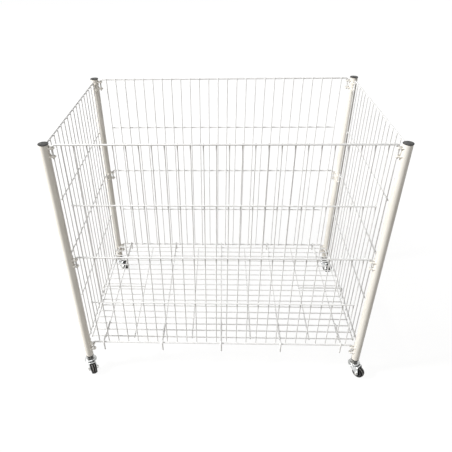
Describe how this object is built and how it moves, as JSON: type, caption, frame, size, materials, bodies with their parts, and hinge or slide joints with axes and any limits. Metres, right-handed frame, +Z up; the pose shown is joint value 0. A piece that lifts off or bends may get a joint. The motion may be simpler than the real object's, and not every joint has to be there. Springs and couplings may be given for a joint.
{
  "type": "wire dump bin",
  "caption": "Open-topped rectangular bin of white welded wire panels hooked between tubular posts, with a hooked wire floor and swivel casters.",
  "frame": {"origin": "on the floor, under the middle of the four posts", "axes": "+X along the long side to the right, +Y from the front to the back, +Z up"},
  "size_m": [0.9363, 0.6233, 0.8208],
  "materials": {
    "post_coat": "white powder coat",
    "wire_coat": "white powder coat",
    "cap_plastic": "moulded, lightly grained",
    "socket_plastic": "moulded",
    "zinc_plate": "bright zinc plate",
    "washer_plastic": "moulded nylon",
    "tyre_rubber": "smooth rubber",
    "hub_plastic": "moulded",
    "axle_steel": "bright zinc plate"
  },
  "bodies": {
    "frame": {"back_panel": "wire_coat", "cap_back_left": "cap_plastic", "cap_back_right": "cap_plastic", "cap_front_left": "cap_plastic", "cap_front_right": "cap_plastic", "caster_stems": "zinc_plate", "front_panel": "wire_coat", "left_panel": "wire_coat", "loops_back_left": "wire_coat", "loops_back_right": "wire_coat", "loops_front_left": "wire_coat", "loops_front_right": "wire_coat", "post_back_left": "post_coat", "post_back_right": "post_coat", "post_front_left": "post_coat", "post_front_right": "post_coat", "raceway_cups": "zinc_plate", "right_panel": "wire_coat", "swivel_washers": "washer_plastic", "tube_sockets": "socket_plastic"},
    "deck": {"deck_hooks": "wire_coat", "deck_mesh": "wire_coat"},
    "fork_front_left": {"axle_bolt_front_left": "axle_steel", "axle_nut_front_left": "axle_steel", "bush_front_left": "axle_steel", "fork_front_left": "zinc_plate"},
    "wheel_front_left": {"hub_front_left": "hub_plastic", "tyre_front_left": "tyre_rubber"},
    "fork_front_right": {"axle_bolt_front_right": "axle_steel", "axle_nut_front_right": "axle_steel", "bush_front_right": "axle_steel", "fork_front_right": "zinc_plate"},
    "wheel_front_right": {"hub_front_right": "hub_plastic", "tyre_front_right": "tyre_rubber"},
    "fork_back_left": {"axle_bolt_back_left": "axle_steel", "axle_nut_back_left": "axle_steel", "bush_back_left": "axle_steel", "fork_back_left": "zinc_plate"},
    "wheel_back_left": {"hub_back_left": "hub_plastic", "tyre_back_left": "tyre_rubber"},
    "fork_back_right": {"axle_bolt_back_right": "axle_steel", "axle_nut_back_right": "axle_steel", "bush_back_right": "axle_steel", "fork_back_right": "zinc_plate"},
    "wheel_back_right": {"hub_back_right": "hub_plastic", "tyre_back_right": "tyre_rubber"}
  },
  "joints": [
    {"name": "deck_lift", "type": "slide", "parent": "frame", "child": "deck", "axis": [0, 0, 1], "range_m": [0, 0.15]},
    {"name": "swivel_front_left", "type": "hinge", "parent": "frame", "child": "fork_front_left", "pos_m": [-0.442, -0.282, 0.047], "axis": [0, 0, 1], "continuous": true},
    {"name": "roll_front_left", "type": "hinge", "parent": "fork_front_left", "child": "wheel_front_left", "pos_m": [-0.43214, -0.30054, 0.02], "axis": [0.8829, 0.4695, 0], "continuous": true},
    {"name": "swivel_front_right", "type": "hinge", "parent": "frame", "child": "fork_front_right", "pos_m": [0.442, -0.282, 0.047], "axis": [0, 0, 1], "continuous": true},
    {"name": "roll_front_right", "type": "hinge", "parent": "fork_front_right", "child": "wheel_front_right", "pos_m": [0.45605, -0.29761, 0.02], "axis": [0.7431, 0.6691, 0], "continuous": true},
    {"name": "swivel_back_left", "type": "hinge", "parent": "frame", "child": "fork_back_left", "pos_m": [-0.442, 0.282, 0.047], "axis": [0, 0, 1], "continuous": true},
    {"name": "roll_back_left", "type": "hinge", "parent": "fork_back_left", "child": "wheel_back_left", "pos_m": [-0.42329, 0.27247, 0.02], "axis": [0.454, 0.891, 0], "continuous": true},
    {"name": "swivel_back_right", "type": "hinge", "parent": "frame", "child": "fork_back_right", "pos_m": [0.442, 0.282, 0.047], "axis": [0, 0, 1], "continuous": true},
    {"name": "roll_back_right", "type": "hinge", "parent": "fork_back_right", "child": "wheel_back_right", "pos_m": [0.45605, 0.26639, 0.02], "axis": [0.7431, 0.6691, 0], "continuous": true}
  ]
}
